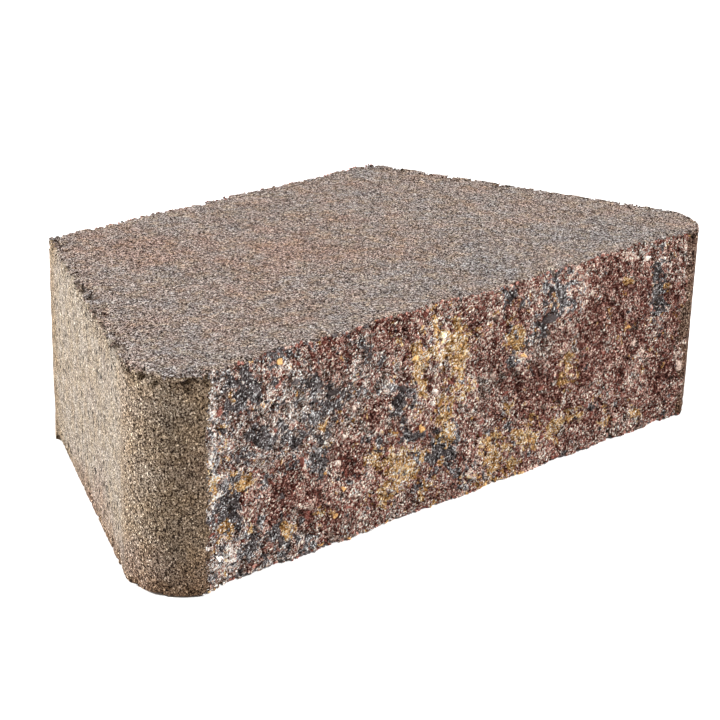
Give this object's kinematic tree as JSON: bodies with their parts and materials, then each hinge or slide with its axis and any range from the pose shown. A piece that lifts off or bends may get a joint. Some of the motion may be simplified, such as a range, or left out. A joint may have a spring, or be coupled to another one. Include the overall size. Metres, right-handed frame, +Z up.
{
  "type": "retaining wall block",
  "caption": "Tapered concrete garden wall block with a rough broken front, rounded noses beside it and a lip under the back edge that hooks behind the course below.",
  "frame": {"origin": "on the floor, under the middle of the block's bounding box, with the block tipped forward on its front edge and its lip as it rests unheld", "axes": "+X to the right along the broken front as seen from in front, +Y from the front to the back, +Z up from the floor"},
  "size_m": [0.3058, 0.1733, 0.0952],
  "materials": {
    "concrete": "matte"
  },
  "bodies": {
    "root": {"wall_block": "concrete"}
  },
  "joints": []
}
